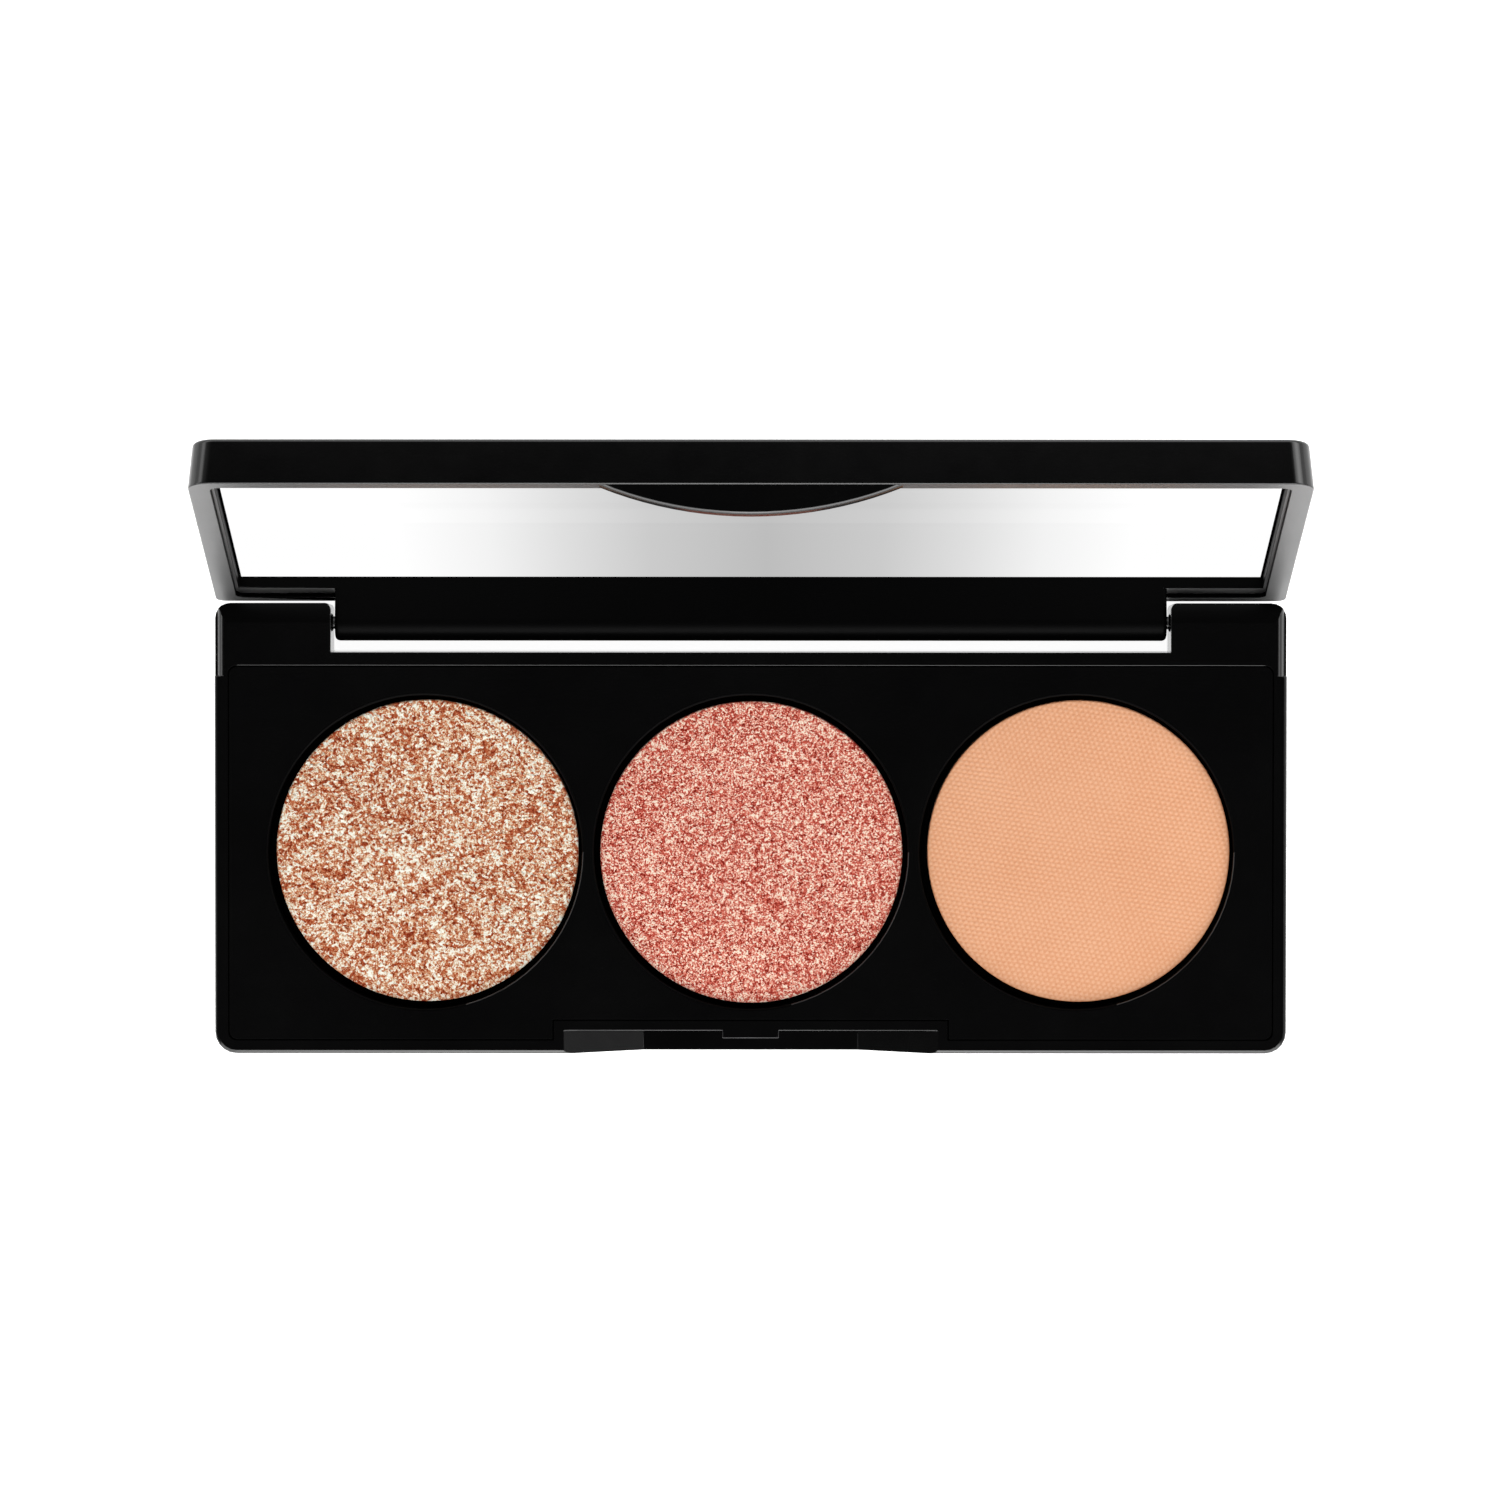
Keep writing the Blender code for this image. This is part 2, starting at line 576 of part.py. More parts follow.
def build_lid_shell(hinge):
    bm = rounded_box(
        (-LID_HALF_WIDTH, LID_FRONT, RIM_Z), (LID_HALF_WIDTH, LID_REAR, LID_TOP_Z),
        FRONT_CORNER, LID_REAR_CORNER,
    )
    draw_in(bm, LID_TOP_Z, LID_DRAFT)
    bevel(bm, edges_at_height(bm, LID_TOP_Z), LID_TOP_EDGE, EDGE_STEPS + 1)
    bevel(bm, edges_at_height(bm, RIM_Z), LID_RIM_EDGE, EDGE_STEPS)
    shell = add("lid_shell", mesh_from(bm, "lid_shell"), BLACK_PLASTIC, hinge)

    # The thumb tab is a slice of a large disc below the front rim.
    radius = ((TAB_WIDTH / 2) ** 2 + TAB_DROP**2) / (2 * TAB_DROP)
    bm = bmesh.new()
    bmesh.ops.create_cone(
        bm, cap_ends=True, segments=ARC_STEPS, radius1=radius, radius2=radius, depth=TAB_THICKNESS
    )
    outer_rim = [edge for edge in bm.edges if all(v.co.z > 0 for v in edge.verts)]
    bevel(bm, outer_rim, TAB_EDGE, EDGE_STEPS + 1)
    bmesh.ops.rotate(bm, matrix=Matrix.Rotation(math.pi / 2, 3, "X"), verts=bm.verts)
    tab_y = LID_FRONT + TAB_INSET + TAB_THICKNESS / 2
    bmesh.ops.translate(bm, vec=(0, tab_y, RIM_Z - TAB_DROP + radius), verts=bm.verts)
    tab = helper("thumb_tab", bm, hinge)
    above = cube(
        (-2 * radius, LID_FRONT - OVERRUN, RIM_Z + RIM_STEP_DEPTH),
        (2 * radius, LID_REAR, RIM_Z + 3 * radius),
    )
    cut(tab, helper("above_tab", above, hinge))
    join(shell, tab)

    step_low = (-LID_HALF_WIDTH + RIM_WALL, LID_FRONT + FRONT_RIM_WALL, RIM_Z - OVERRUN)
    step_high = (LID_HALF_WIDTH - RIM_WALL, LID_REAR - REAR_RIM_WALL, RIM_Z + RIM_STEP_DEPTH)
    cut(shell, helper("rim_step", rounded_box(step_low, step_high, STEP_CORNER, STEP_CORNER), hinge))
    pocket = cube(
        (step_low[0] + RIM_STEP_WIDTH, step_low[1] + RIM_STEP_WIDTH, RIM_Z - OVERRUN),
        (step_high[0] - RIM_STEP_WIDTH, -BARREL_RADIUS, PANEL_Z),
    )
    cut(shell, helper("mirror_pocket", pocket, hinge))

    join(shell, helper("hinge_block", hinge_block(), hinge))
    for side in (-1, 1):
        ends = sorted((side * (BLOCK_HALF - PIN_REACH - PIN_CLEARANCE), side * NOTCH_HALF))
        hole = rod(PIN_DIAMETER / 2 + PIN_CLEARANCE, ends[0], ends[1], BARREL_STEPS)
        cut(shell, helper(f"block_pin_hole_{side}", hole, hinge))


def build_mirror(hinge):
    low_y = LID_FRONT + FRONT_RIM_WALL + RIM_STEP_WIDTH + MIRROR_CLEARANCE
    high_y = -BARREL_RADIUS - MIRROR_CLEARANCE
    half = LID_HALF_WIDTH - RIM_WALL - RIM_STEP_WIDTH - MIRROR_CLEARANCE
    glass = cube((-half, low_y, MIRROR_Z), (half, high_y, MIRROR_Z + MIRROR_THICKNESS))
    add("mirror", mesh_from(glass, "mirror"), SILVER_MIRROR, hinge)
    tape = cube(
        (-half + TAPE_MARGIN, low_y + TAPE_MARGIN, TAPE_Z),
        (half - TAPE_MARGIN, high_y - TAPE_MARGIN, TAPE_Z + TAPE_THICKNESS),
    )
    add("mirror_tape", mesh_from(tape, "mirror_tape"), FOAM_TAPE, hinge)


build_base_shell()
build_base_label()
build_pan_tray()
build_pans()
build_hinge_pins()
HINGE = lid_hinge()
build_lid_shell(HINGE)
build_mirror(HINGE)
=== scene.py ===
"""A slim trio eyeshadow palette standing open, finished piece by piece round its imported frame."""

import math

import bpy
import numpy as np
from mathutils import Matrix, Vector, noise


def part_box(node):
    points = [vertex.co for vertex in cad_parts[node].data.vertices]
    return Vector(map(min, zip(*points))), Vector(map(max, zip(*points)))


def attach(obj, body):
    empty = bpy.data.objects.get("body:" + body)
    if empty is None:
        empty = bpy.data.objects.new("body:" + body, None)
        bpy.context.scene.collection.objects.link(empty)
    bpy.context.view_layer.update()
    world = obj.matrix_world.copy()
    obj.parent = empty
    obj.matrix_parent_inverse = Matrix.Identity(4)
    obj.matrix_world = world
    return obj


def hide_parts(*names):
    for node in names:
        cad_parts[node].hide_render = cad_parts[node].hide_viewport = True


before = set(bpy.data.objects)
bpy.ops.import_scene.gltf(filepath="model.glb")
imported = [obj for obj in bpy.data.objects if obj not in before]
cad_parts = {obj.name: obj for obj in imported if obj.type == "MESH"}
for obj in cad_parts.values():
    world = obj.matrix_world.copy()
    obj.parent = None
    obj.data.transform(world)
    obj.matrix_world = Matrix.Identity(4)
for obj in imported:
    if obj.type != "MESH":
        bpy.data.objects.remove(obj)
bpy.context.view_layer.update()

# ---------------------------------------------------------------------------------------------
# Base shell. One injection moulding in gloss black ABS: the outer walls and floor, the two ears
# that carry the hinge pins, and the thumb recess with its catch. The mould is polished, and its
# edges are stoned, so every corner of the moulding has a small radius that catches the light.
# ---------------------------------------------------------------------------------------------
MM = 0.001
SHELL_EDGE = 0.045 * MM
WELD_GAP = 0.001 * MM
FLAT_WITHIN = math.radians(0.7)  # faces that turn less than this are one flat face
ROUND_FROM = math.radians(22)  # edges that turn more than this are rounded
SMOOTH_WITHIN = math.radians(32)


class Value:
    """An output socket in a node tree. Sums and products of values become Math nodes."""

    def __init__(self, finish, socket):
        self.finish = finish
        self.socket = socket

    def maths(self, operation, first, second=0.0):
        return self.finish.node(
            "ShaderNodeMath", {"operation": operation}, {0: first, 1: second}
        )

    def __add__(self, other):
        return self.maths("ADD", self, other)

    def __radd__(self, other):
        return self.maths("ADD", other, self)

    def __sub__(self, other):
        return self.maths("SUBTRACT", self, other)

    def __rsub__(self, other):
        return self.maths("SUBTRACT", other, self)

    def __mul__(self, other):
        return self.maths("MULTIPLY", self, other)

    def __rmul__(self, other):
        return self.maths("MULTIPLY", other, self)

    def __truediv__(self, other):
        return self.maths("DIVIDE", self, other)

    def __abs__(self):
        return self.maths("ABSOLUTE", self)


class Finish:
    """A node tree and the one way its nodes are made. For a material it also sets the shader."""

    def __init__(self, name, constants=None, tree=None):
        self.tree = tree
        if tree is None:
            self.material = bpy.data.materials.new(name)
            self.material.use_nodes = True
            self.tree = self.material.node_tree
            self.shader = self.tree.nodes["Principled BSDF"]
            for socket, value in (constants or {}).items():
                self.shader.inputs[socket].default_value = value

    def node(self, kind, settings=None, inputs=None, output=0):
        made = self.tree.nodes.new(kind)
        for name, value in (settings or {}).items():
            if name == "stops":
                ramp = made.color_ramp
                while len(ramp.elements) < len(value):
                    ramp.elements.new(0.5)
                for element, (position, colour) in zip(ramp.elements, value):
                    element.position = position
                    element.color = (*colour, 1.0)
            else:
                setattr(made, name, value)
        for socket, value in (inputs or {}).items():
            if isinstance(value, Value):
                self.tree.links.new(value.socket, made.inputs[socket])
            else:
                made.inputs[socket].default_value = value
        return Value(self, made.outputs[output])

    def place(self):
        return self.node("ShaderNodeTexCoord", output="Object")

    def noise(self, size, detail, roughness=0.55, vector=None):
        """Soft noise from 0 to 1 whose largest features are about one size apart."""
        inputs = {"Vector": vector or self.place(), "Scale": 1 / size, "Detail": detail,
                  "Roughness": roughness}
        return self.node("ShaderNodeTexNoise", inputs=inputs)

    def attribute(self, name):
        return self.node("ShaderNodeAttribute", {"attribute_name": name}, output="Fac")

    def ramp(self, factor, stops):
        return self.node("ShaderNodeValToRGB", {"stops": stops}, {0: factor})

    def mix(self, factor, first, second):
        """Goes from the first colour to the second as the factor goes from 0 to 1."""
        ends = [c if isinstance(c, Value) else (*c, 1.0) for c in (first, second)]
        inputs = {0: factor, 6: ends[0], 7: ends[1]}
        return self.node("ShaderNodeMix", {"data_type": "RGBA"}, inputs, output=2)

    def bump(self, height, depth, strength):
        """A normal from a height of 0 to 1 that stands for a depth in metres."""
        inputs = {"Strength": strength, "Distance": depth, "Height": height}
        return self.node("ShaderNodeBump", inputs=inputs)

    def set(self, **varying):
        for name, value in varying.items():
            self.tree.links.new(value.socket, self.shader.inputs[name.replace("_", " ")])


def black_plastic(name, tone, specular, roughness, grain_size, grain_depth, sheen=0.0):
    """Black ABS with the grain of its mould, and the faint smears that handling leaves on it."""
    made = Finish(name, {
        "IOR": 1.49, "Specular IOR Level": specular, "Sheen Weight": sheen, "Sheen Roughness": 0.35,
    })
    smear = made.noise(9 * MM, 4.0, 0.6)
    grain = made.noise(grain_size, 2.0)
    made.set(
        Base_Color=made.mix(smear, (tone, tone, tone * 1.08), (tone * 1.8,) * 3),
        Roughness=roughness + 0.08 * smear + 0.04 * grain,
        Normal=made.bump(grain, grain_depth, 0.35),
    )
    return made.material


def select_only(piece):
    bpy.ops.object.select_all(action="DESELECT")
    piece.select_set(True)
    bpy.context.view_layer.objects.active = piece


def coat(piece, material):
    """Makes a material a piece's only one."""
    piece.data.materials.clear()
    piece.data.materials.append(material)


def settle(piece, body, material, node):
    """Gives a finished piece its material, and its place on a body instead of its node."""
    coat(piece, material)
    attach(piece, body)
    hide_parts(node)


def moulded(name, node, edge):
    """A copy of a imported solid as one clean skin, with its sharp edges rounded."""
    piece = bpy.data.objects.new(name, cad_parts[node].data.copy())
    bpy.context.scene.collection.objects.link(piece)
    select_only(piece)
    bpy.ops.mesh.customdata_custom_splitnormals_clear()
    bpy.ops.object.mode_set(mode="EDIT")
    bpy.ops.mesh.select_all(action="SELECT")
    bpy.ops.mesh.remove_doubles(threshold=WELD_GAP)
    bpy.ops.mesh.dissolve_limited(angle_limit=FLAT_WITHIN)
    bpy.ops.object.mode_set(mode="OBJECT")
    rounding = piece.modifiers.new("rounding", "BEVEL")
    rounding.width = edge
    rounding.segments = 3
    rounding.limit_method = "ANGLE"
    rounding.angle_limit = ROUND_FROM
    rounding.use_clamp_overlap = False
    rounding.miter_outer = "MITER_ARC"
    bpy.ops.object.shade_smooth_by_angle(angle=SMOOTH_WITHIN)
    weighting = piece.modifiers.new("weighting", "WEIGHTED_NORMAL")
    weighting.keep_sharp = True
    select_only(piece)
    for modifier in list(piece.modifiers):
        bpy.ops.object.modifier_apply(modifier=modifier.name)

    # A rounding that overshoots where many edges meet is brought back to the solid's box.
    low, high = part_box(node)
    for point in piece.data.vertices:
        point.co = [min(max(c, a), b) for c, a, b in zip(point.co, low, high)]
    return piece


def finish_faces(piece, material, test):
    """Gives the faces whose centre and normal pass a test a finish of their own."""
    piece.data.materials.append(material)
    for face in piece.data.polygons:
        if test(face.center, face.normal):
            face.material_index = len(piece.data.materials) - 1


GLOSS_BLACK = black_plastic(
    "gloss_black_plastic", tone=0.0009, specular=0.42, roughness=0.09,
    grain_size=1.6 * MM, grain_depth=0.004 * MM,
)
# A shaded copy of the gloss black, darker and almost without gloss: painted shade, put on faces whose
# glint or reflection is to be hidden.
PAINTED_SHADE_BLACK = black_plastic(
    "painted_shade_black_plastic", tone=0.0004, specular=0.025, roughness=0.38,
    grain_size=0.5 * MM, grain_depth=0.004 * MM,
)
base_moulding = moulded("base_moulding", "base_shell", SHELL_EDGE)
settle(base_moulding, "base", GLOSS_BLACK, "base_shell")

# The ears' rounded rear tops get painted shade: the shaded black keeps them from reflecting the tent's
# light.
EAR_TOP_LEAD = 0.2 * MM  # how far the painted shade reaches in front of the hinge axis
pin_low, pin_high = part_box("hinge_pin_left")
hinge_axis = (pin_low + pin_high) / 2
hinge_axis.x = 0


def on_ear_top(c, n):
    return c.y > hinge_axis.y - EAR_TOP_LEAD and c.z > hinge_axis.z and abs(n.x) < 0.25


finish_faces(base_moulding, PAINTED_SHADE_BLACK, on_ear_top)

# The seam round the tray gets painted shade: its walls and edge roundings take the shaded black, which
# hides their glint.
SEAM_INSET = 0.8 * MM
SEAM_DEPTH = 0.2 * MM
SEAM_WIDTH = 0.3 * MM
RECESS_HALF = 16.4 * MM
RECESS_DEPTH = 2.3 * MM
FACES_UP = 0.97  # a normal's height from which a face counts as level
base_low, base_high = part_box("base_shell")
tray_low, tray_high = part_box("pan_tray")


def at_seam(c, n):
    inside = base_high.x - abs(c.x) > SEAM_INSET and c.y - base_low.y > SEAM_INSET
    recess = abs(c.x) < RECESS_HALF and c.y - base_low.y < RECESS_DEPTH
    beside_tray = c.y < tray_high.y + SEAM_WIDTH and c.z > tray_high.z - SEAM_DEPTH
    return inside and beside_tray and not recess and n.z < FACES_UP


finish_faces(base_moulding, PAINTED_SHADE_BLACK, at_seam)

# ---------------------------------------------------------------------------------------------
# Pan tray. A second moulding in the same black ABS that drops into the base shell: a flat deck
# with three round wells, each with a small lead-in radius round its mouth.
# ---------------------------------------------------------------------------------------------
TRAY_EDGE = 0.03 * MM
WELL_REACH = 14.2 * MM
HIGHLIGHT_ARC = (-75, 0)  # degrees about a well's centre, from its right side: the arc of each lip left glossy for its highlight

tray_moulding = moulded("tray_moulding", "pan_tray", TRAY_EDGE)
settle(tray_moulding, "base", GLOSS_BLACK, "pan_tray")
pan_boxes = [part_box(f"pan_{place}") for place in ("left", "middle", "right")]
well_centres = [(low + high) / 2 for low, high in pan_boxes]


def at_tray_edge(c, n):
    """The outline and the wells' lips, which take painted shade, all but the arc of each lip that keeps
    its gloss to show a highlight.
    """
    for centre in well_centres:
        x, y = c.x - centre.x, c.y - centre.y
        if math.hypot(x, y) < WELL_REACH:
            keeps_highlight = HIGHLIGHT_ARC[0] < math.degrees(math.atan2(y, x)) < HIGHLIGHT_ARC[1]
            return n.z < FACES_UP and not keeps_highlight
    return n.z < FACES_UP


finish_faces(tray_moulding, PAINTED_SHADE_BLACK, at_tray_edge)

# ---------------------------------------------------------------------------------------------
# Label. A blank label die-cut from matt white film. Its own adhesive holds it in a shallow
# pocket under the base, which keeps its edges from being rubbed up.
# ---------------------------------------------------------------------------------------------
LABEL_EDGE = 0.02 * MM

film = Finish("label_film", {"Specular IOR Level": 0.3})
fibre = film.noise(0.25 * MM, 3.0)
film.set(
    Base_Color=film.mix(fibre, (0.70, 0.70, 0.69), (0.80, 0.80, 0.79)),
    Roughness=0.55 + 0.2 * fibre,
    Normal=film.bump(fibre, 0.01 * MM, 0.3),
)
label = moulded("label_film", "base_label", LABEL_EDGE)
settle(label, "base", film.material, "base_label")

# ---------------------------------------------------------------------------------------------
# Pans and their glue. Each pan is a shallow cup pressed from bright tinplate, and is held in its
# well by a disc of hot-melt glue.
# ---------------------------------------------------------------------------------------------
PAN_EDGE = 0.05 * MM

tin = Finish("pressed_tinplate", {"Metallic": 1.0})
drawn = tin.noise(0.6 * MM, 4.0)
tin.set(
    Base_Color=tin.mix(drawn, (0.55, 0.55, 0.54), (0.68, 0.68, 0.67)),
    Roughness=0.22 + 0.16 * drawn,
    Normal=tin.bump(drawn, 0.006 * MM, 0.4),
)
hot_melt = Finish("hot_melt_glue", {"Subsurface Weight": 0.1})
ripple = hot_melt.noise(2.5 * MM, 2.0)
hot_melt.set(
    Base_Color=hot_melt.mix(ripple, (0.62, 0.56, 0.40), (0.76, 0.72, 0.58)),
    Roughness=0.35 + 0.2 * ripple,
    Normal=hot_melt.bump(ripple, 0.05 * MM, 0.5),
)
for place in ("left", "middle", "right"):
    pan = moulded(f"tin_pan_{place}", f"pan_{place}", PAN_EDGE)
    settle(pan, "base", tin.material, f"pan_{place}")
    coat(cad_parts[f"pan_glue_{place}"], hot_melt.material)

# ---------------------------------------------------------------------------------------------
# Pressed powders. Each cake is pressed into its pan until it stands flush over the pan's rim. The
# left one is a coarse foiled glitter and the middle one a fine shimmer, both made of flat flakes
# that lie at all angles. The right one is a matte powder with the weave of its pressing cloth.
# ---------------------------------------------------------------------------------------------
CAKE_CELLS = 300
CAKE_OVERHANG = 0.01 * MM  # between the cake's edge and the pan's outer wall
CAKE_SEAT = 0.005 * MM  # between the cake and the pan's rim
CAKE_FLOOR_GAP = 0.05 * MM
CAKE_EDGE = 0.1 * MM
CAKE_CROWN = 0.6 * CAKE_EDGE


def cake(place, relief):
    """A cake over its pan's rim. relief(x, y) gives its height, and the level of its painted light and
    shade, round its centre.
    """
    pan_low, pan_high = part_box(f"pan_{place}")
    inner_low, inner_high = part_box(f"powder_{place}")
    centre = (pan_low + pan_high) / 2
    radius = (pan_high.x - pan_low.x) / 2 - CAKE_OVERHANG
    seat = (inner_high.x - inner_low.x) / 2
    rim = pan_high.z + CAKE_SEAT
    foot = inner_low.z + CAKE_FLOOR_GAP
    bpy.ops.object.select_all(action="DESELECT")
    bpy.ops.mesh.primitive_grid_add(x_subdivisions=CAKE_CELLS, y_subdivisions=CAKE_CELLS, size=2)
    piece = bpy.context.object
    piece.name = f"pressed_powder_{place}"

    # The square grid is drawn out into a disc whose cells all keep the same area.
    points = np.empty(len(piece.data.vertices) * 3, np.float32)
    piece.data.vertices.foreach_get("co", points)
    points = points.reshape(-1, 3).astype(float)
    across, along = points[:, 0], points[:, 1]
    wide = np.abs(across) > np.abs(along)
    reach = np.where(wide, across, along)
    ratio = np.where(wide, along, across) / np.where(np.abs(reach) < 1e-9, 1, reach)
    turn = np.where(wide, ratio * math.pi / 4, math.pi / 2 - ratio * math.pi / 4)
    x, y = radius * reach * np.cos(turn), radius * reach * np.sin(turn)
    edge_share = np.clip(1 - (radius - np.hypot(x, y)) / CAKE_EDGE, 0, 1)
    rolled = CAKE_CROWN * (1 - np.sqrt(1 - edge_share**2))
    height, gleam = relief(x, y)
    calm = 1 - 0.6 * edge_share
    points[:, 0] = centre.x + x
    points[:, 1] = centre.y + y
    points[:, 2] = rim + CAKE_CROWN + height * calm - rolled
    piece.data.vertices.foreach_set("co", points.astype(np.float32).ravel())
    for name, values in (("gleam", gleam), ("rim", edge_share)):
        layer = piece.data.attributes.new(name, "FLOAT", "POINT")
        layer.data.foreach_set("value", values.astype(np.float32))

    # The edge turns in over the pan's rim, then the cake goes down inside the pan.
    select_only(piece)
    bpy.ops.object.mode_set(mode="EDIT")
    bpy.ops.mesh.select_all(action="SELECT")
    bpy.ops.mesh.region_to_loop()
    for level, share in ((rim, 1), (rim, seat / radius), (foot, 1)):
        bpy.ops.mesh.extrude_region_move()
        bpy.ops.transform.resize(
            value=(share, share, 0), center_override=(centre.x, centre.y, level)
        )
    bpy.ops.mesh.edge_face_add()
    bpy.ops.mesh.select_all(action="SELECT")
    bpy.ops.mesh.normals_make_consistent(inside=False)
    bpy.ops.object.mode_set(mode="OBJECT")
    bpy.ops.object.shade_smooth_by_angle(angle=math.radians(60))
    return piece


def flakes(size, tilt, lift, clump_size, clump_share, seed):
    """Relief of flat flakes that lie at all angles, some of them gathered in clumps, and their painted
    light: the higher a flake or clump stands, the lighter it is painted, so the hollows between take
    painted shade.
    """

    def relief(x, y):
        heights, painted_lights = np.empty(len(x)), np.empty(len(x))
        for i, (across, along) in enumerate(zip(x, y)):
            point = Vector((across / size, along / size, seed))
            nearest = noise.voronoi(point)[1][0]
            lean = noise.cell_vector(nearest * 17.3)
            clump = noise.fractal(Vector((across, along, seed * MM)) / clump_size, 1.0, 2.0, 2)
            offset = point - nearest
            heights[i] = size * tilt * (lean.x * offset.x + lean.y * offset.y)
            heights[i] += lift * lean.z + lift * 0.8 * clump
            painted_lights[i] = (1 - clump_share) * lean.z + clump_share * clump * 1.6
        return heights, painted_lights

    return relief


def woven(ribs, depth):
    """Relief of a twill pressing cloth, the sum of its sets of ribs, which wander a little, and its
    painted shade: lighter on the ridges, darker in the grooves.
    """

    def relief(x, y):
        drift = np.array([noise.noise(Vector((a, b, 0)) / (3 * MM)) for a, b in zip(x, y)])
        total = np.zeros(len(x))
        for across, along in ribs:
            total += np.cos(2 * math.pi * (across * x + along * y) / MM + 1.1 * drift)
        return depth * total / len(ribs), total / len(ribs)

    return relief


def lit(exposure, *levels):
    """Stops of a ramp from 8-bit display colours, as the reflectances that show them."""
    return [
        (position, tuple(exposure * ((c / 255 + 0.055) / 1.055) ** 2.4 for c in colour))
        for position, colour in levels
    ]


FLAKE_LAYERS = ((0.62, 1.0), (0.5, 0.55), (0.3, 0.3))  # share of the painted glint, and size


def flake_finish(name, stops, size, contrast):
    """Foiled flakes, coloured with painted light: each runs from a painted shadow to a painted glint, by
    how high it lies and by random cells.
    """
    made = Finish(name, {"Specular IOR Level": 0.04})
    # The colour level is painted light and shade, from the flakes' lift and from random cells.
    level, painted_glints = 0.5 + 0.26 * contrast * made.attribute("gleam"), []
    for share, scale in FLAKE_LAYERS:
        cells = made.node(
            "ShaderNodeTexVoronoi",
            inputs={"Vector": made.place(), "Scale": 1 / (size * scale)}, output="Color",
        )
        painted_glints.append(made.node("ShaderNodeSeparateColor", inputs={"Color": cells}))
        level = level + (share * contrast) * (painted_glints[-1] - 0.5)
    made.set(
        Base_Color=made.ramp(level, stops),
        Roughness=0.6 - 0.2 * painted_glints[0],
        Normal=made.bump(painted_glints[1], 0.02 * MM, 0.4),
    )
    return made.material


# Each ramp runs from the painted shadow between flakes, its darkest stop, to their painted glints, near
# white.
champagne = flake_finish(
    "champagne_glitter",
    lit(0.70, (0.0, (117, 40, 21)), (0.16, (158, 64, 35)), (0.36, (172, 90, 54)),
        (0.52, (185, 119, 82)), (0.72, (212, 172, 135)), (0.9, (228, 220, 197)),
        (1.0, (234, 235, 224))),
    size=0.23 * MM, contrast=1.3,
)
rose = flake_finish(
    "rose_shimmer",
    lit(0.70, (0.0, (105, 21, 14)), (0.16, (142, 40, 31)), (0.36, (169, 59, 48)),
        (0.52, (193, 80, 64)), (0.72, (217, 114, 96)), (0.9, (231, 179, 155)),
        (1.0, (238, 226, 206))),
    size=0.145 * MM, contrast=1.4,
)
PEACH_TONES = lit(0.565, (0.0, (228, 160, 118)), (0.5, (238, 176, 136)), (1.0, (247, 191, 153)))
# Painted shade at the cake's rolled edge: the colour goes darker and more orange towards it.
PEACH_EDGE_SHADE = lit(0.565, (0, (226, 140, 86)))[0][1]
peach = Finish("peach_matte", {"Specular IOR Level": 0.04})
dust = peach.noise(0.10 * MM, 2.0)
cloud = peach.noise(6 * MM, 2.0)
# The weave's ridges are painted lighter and its grooves darker, painted shade; dust and cloud vary the
# tone at random.
weave_shade = peach.attribute("gleam")
tone = 0.5 + 0.62 * weave_shade + 1.3 * (dust - 0.5) + 0.4 * (cloud - 0.5)
peach.set(
    Base_Color=peach.mix(peach.attribute("rim") * 0.7, peach.ramp(tone, PEACH_TONES), PEACH_EDGE_SHADE),
    Roughness=0.85 + 0.1 * dust,
    Normal=peach.bump(dust, 0.012 * MM, 0.5),
)
CLOTH_RIBS = ((1.88, -1.83), (2.30, 0.79), (0.41, 2.61))  # ribs a millimetre, across and along
coarse = flakes(size=0.24 * MM, tilt=0.35, lift=0.02 * MM, clump_size=1.1 * MM, clump_share=0.5, seed=3.0)
fine = flakes(size=0.18 * MM, tilt=0.3, lift=0.014 * MM, clump_size=0.7 * MM, clump_share=0.3, seed=11.0)
cloth = woven(CLOTH_RIBS, depth=0.022 * MM)
for place, relief, material, slot in (
    ("left", coarse, champagne, "champagne_glitter"),
    ("middle", fine, rose, "rose_shimmer"),
    ("right", cloth, peach.material, "peach_matte"),
):
    settle(cake(place, relief), "base", material, f"powder_{place}")

# ---------------------------------------------------------------------------------------------
# Hinge pins. Two short lengths of drawn steel wire, coloured near black. Each is pressed into its ear and
# turns freely in the lid's block.
# ---------------------------------------------------------------------------------------------
wire = Finish("drawn_steel", {"Metallic": 1.0})
stretch = wire.node("ShaderNodeMapping", inputs={"Vector": wire.place(), "Scale": (0.05, 1, 1)})
draw_lines = wire.noise(0.06 * MM, 3.0, vector=stretch)
wire.set(
    Base_Color=wire.mix(draw_lines, (0.05,) * 3, (0.12,) * 3),
    Roughness=0.22 + 0.2 * draw_lines,
    Normal=wire.bump(draw_lines, 0.004 * MM, 0.5),
)
for side in ("left", "right"):
    coat(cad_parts[f"hinge_pin_{side}"], wire.material)

# ---------------------------------------------------------------------------------------------
# Lid shell. The third black moulding: the panel, its rim with a step round the mirror, the hinge
# block between the ears, and the curved thumb tab below the front rim.
# ---------------------------------------------------------------------------------------------
LID_LEAN = math.radians(15.3)
LID_EDGE = 0.05 * MM
RIM_DEPTH = 2.35 * MM  # the rim's face, behind the hinge axis
RIM_WIDTH = 1.5 * MM
WALL_HEIGHT = 1.5 * MM
STEP_DEPTH = 0.35 * MM
BLOCK_REACH = 1.7 * MM

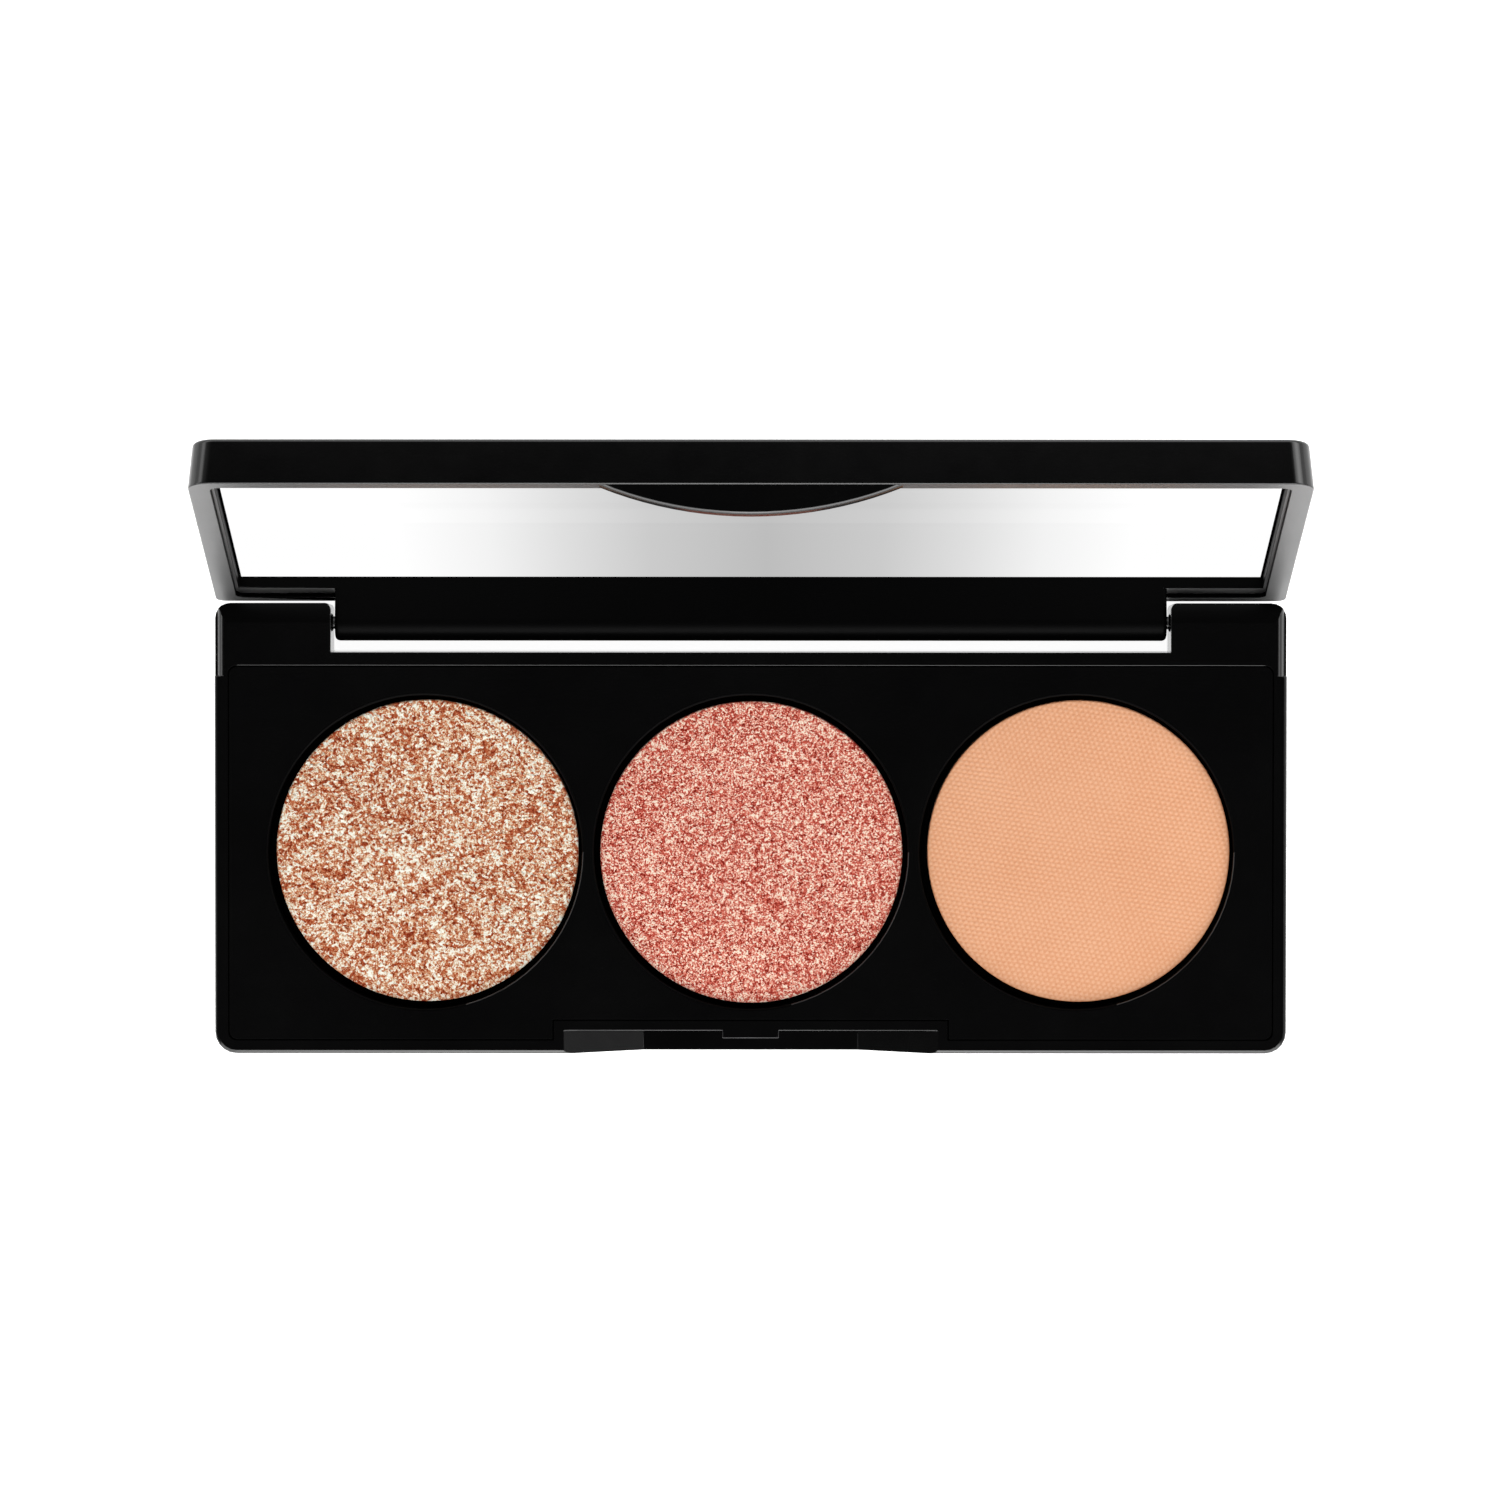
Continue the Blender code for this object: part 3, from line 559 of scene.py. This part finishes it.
SATIN_BLACK = black_plastic(
    "satin_black_plastic", tone=0.0012, specular=0.7, roughness=0.3,
    grain_size=0.16 * MM, grain_depth=0.006 * MM, sheen=0.35,
)
lid_moulding = moulded("lid_moulding", "lid_shell", LID_EDGE)
settle(lid_moulding, "lid", GLOSS_BLACK, "lid_shell")
lid_up = Vector((0, math.sin(LID_LEAN), math.cos(LID_LEAN)))
lid_back = Vector((0, math.cos(LID_LEAN), -math.sin(LID_LEAN)))
lid_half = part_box("lid_shell")[1].x


def round_mirror(c, n):
    """The block and the walls round the mirror, which take painted shade so that they show no reflection.
    """
    depth = (c - hinge_axis).dot(lid_back)
    reach = (c - hinge_axis).dot(lid_up)
    block = depth < RIM_DEPTH - 0.1 * MM and reach < 2 * BLOCK_REACH
    inside = depth > RIM_DEPTH + 0.05 * MM and n.dot(lid_up) > 0.6 and reach < BLOCK_REACH
    side = depth < RIM_DEPTH + WALL_HEIGHT and abs(c.x) < lid_half - RIM_WIDTH and abs(n.x) > 0.6
    return block or inside or side


def on_rim(c, n):
    """The rim's and the step's faces, which the mould leaves satin."""
    depth = (c - hinge_axis).dot(lid_back) - RIM_DEPTH
    high = (c - hinge_axis).dot(lid_up) > BLOCK_REACH
    return high and n.dot(lid_back) < -0.8 and -0.06 * MM < depth < STEP_DEPTH + 0.06 * MM


finish_faces(lid_moulding, PAINTED_SHADE_BLACK, round_mirror)
finish_faces(lid_moulding, SATIN_BLACK, on_rim)

# ---------------------------------------------------------------------------------------------
# Mirror and its tape. A silvered acrylic sheet with ground edges, on a patch of white foam tape.
# The sheet glows with a painted reflection, white towards its sides and fading to a soft grey in the
# middle, over a dim real reflection in its silvering.
# ---------------------------------------------------------------------------------------------
MIRROR_EDGE = 0.08 * MM
PAINTED_REFLECTION_SPAN = 32.9 * MM
PAINTED_REFLECTION_MIDDLE = 1.3 * MM
SILVER_BORDER = 0.04 * MM
PAINTED_REFLECTION_LEVELS = ((0.0, 0.508), (0.30, 0.597), (0.52, 0.738), (0.71, 0.89), (0.94, 1.0))

mirror = moulded("silvered_mirror", "mirror", MIRROR_EDGE)
silver_and_painted_reflection = Finish(
    "silvered_acrylic_with_painted_reflection",
    {"Base Color": (0.16, 0.16, 0.165, 1), "Metallic": 1.0, "Roughness": 0.03, "Emission Strength": 1.0},
)
# Painted reflection: the glow grows brighter away from the middle, along the hinge.
along_hinge = silver_and_painted_reflection.node("ShaderNodeSeparateXYZ", inputs={0: silver_and_painted_reflection.place()})
reflection_fade = abs(along_hinge - PAINTED_REFLECTION_MIDDLE) / PAINTED_REFLECTION_SPAN
silver_and_painted_reflection.set(Emission_Color=silver_and_painted_reflection.ramp(reflection_fade, [(at, (level,) * 3) for at, level in PAINTED_REFLECTION_LEVELS]))
settle(mirror, "lid", silver_and_painted_reflection.material, "mirror")

# The silvering stops a little short of the sheet's side edges. These edges take the shaded black, which
# is partly their own dark ground edge and partly painted shade round the mirror.
front = max((f for f in mirror.data.polygons if f.normal.dot(lid_back) < 0), key=lambda f: f.area)
select_only(mirror)
for face in mirror.data.polygons:
    face.select = face.index == front.index
bpy.ops.object.mode_set(mode="EDIT")
bpy.ops.mesh.select_mode(type="FACE")
bpy.ops.mesh.inset(thickness=SILVER_BORDER)
bpy.ops.object.mode_set(mode="OBJECT")
finish_faces(mirror, PAINTED_SHADE_BLACK, lambda c, n: abs(c.x) > 1 * MM or abs(n.dot(lid_back)) < 0.9)

foam = Finish("foam_tape", {"Specular IOR Level": 0.2})
pores = foam.noise(0.12 * MM, 3.0)
foam.set(
    Base_Color=foam.mix(pores, (0.48, 0.48, 0.45), (0.62, 0.62, 0.59)),
    Roughness=0.7 + 0.2 * pores,
    Normal=foam.bump(pores, 0.02 * MM, 0.6),
)
coat(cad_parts["mirror_tape"], foam.material)

# ---------------------------------------------------------------------------------------------
# Table, light and camera. A glowing white light table under a pale studio tent that is open, and
# so dark, straight above, where the camera hangs two degrees to the rear of upright.
# ---------------------------------------------------------------------------------------------
TABLE_GAP = 0.02 * MM
TENT_GLOW = 3.3
TENT_LEVELS = (  # from the table's level, 0, to straight up, 1
    (0.0, 0.42), (0.3, 0.42), (0.4, 1.0), (0.52, 1.0), (0.6, 0.09), (0.7, 0.09), (0.745, 0.004),
    (1.0, 0.002),
)

bpy.ops.object.select_all(action="DESELECT")
bpy.ops.mesh.primitive_plane_add(size=6.0, location=(0, 0, -TABLE_GAP))
floor = bpy.context.object
floor.name = "light_table"
table_top = Finish(
    "light_table",
    {"Base Color": (0.6, 0.6, 0.6, 1), "Roughness": 0.9, "Emission Color": (1, 1, 1, 1),
     "Emission Strength": 0.95, "Specular IOR Level": 0.1},
)
floor.data.materials.append(table_top.material)

world = bpy.data.worlds.new("studio_tent")
world.use_nodes = True
bpy.context.scene.world = world
tent = Finish("studio_tent", tree=world.node_tree)
direction = tent.node("ShaderNodeTexCoord", output="Generated")
rightward = tent.node("ShaderNodeSeparateXYZ", inputs={0: direction}, output=0)
upward = tent.node("ShaderNodeSeparateXYZ", inputs={0: direction}, output=2)
walls = tent.ramp(upward - 0.1 * rightward, [(at, (level,) * 3) for at, level in TENT_LEVELS])
background = world.node_tree.nodes["Background"]
background.inputs["Strength"].default_value = TENT_GLOW
world.node_tree.links.new(walls.socket, background.inputs["Color"])


def softbox(name, place, size, power):
    """A square area light that faces the palette."""
    data = bpy.data.lights.new(name, "AREA")
    data.shape = "SQUARE"
    data.size = size
    data.energy = power
    lamp = bpy.data.objects.new(name, data)
    bpy.context.scene.collection.objects.link(lamp)
    lamp.location = place
    lamp.rotation_euler = (-Vector(place)).to_track_quat("-Z", "Y").to_euler()


softbox("front_left_softbox", (-0.26, -0.62, 0.50), 0.7, 5.9)
softbox("front_right_softbox", (0.26, -0.62, 0.50), 0.7, 7.0)
softbox("rear_right_softbox", (0.50, 0.50, 0.45), 0.4, 1.2)

CAMERA_REACH = 697.4 * MM
CAMERA_TILT = math.radians(2.0)
CAMERA_ROLL = math.radians(-0.03)
CAMERA_LENS = 194.74
CAMERA_AIM = (-0.065 * MM, 6.76 * MM)
aim = Vector((*CAMERA_AIM, base_high.z))
camera_data = bpy.data.cameras.new("overhead_camera")
camera_data.sensor_width = 36.0
camera_data.lens = CAMERA_LENS
camera_data.clip_start = 0.01
camera_data.clip_end = 20.0
camera = bpy.data.objects.new("overhead_camera", camera_data)
bpy.context.scene.collection.objects.link(camera)
back = Vector((0, math.sin(CAMERA_TILT), math.cos(CAMERA_TILT)))
turned = Matrix.Rotation(-CAMERA_ROLL, 4, back) @ Matrix.Rotation(-CAMERA_TILT, 4, "X")
camera.matrix_world = Matrix.Translation(aim + back * CAMERA_REACH) @ turned
bpy.context.scene.camera = camera
bpy.context.scene.view_settings.view_transform = "Standard"
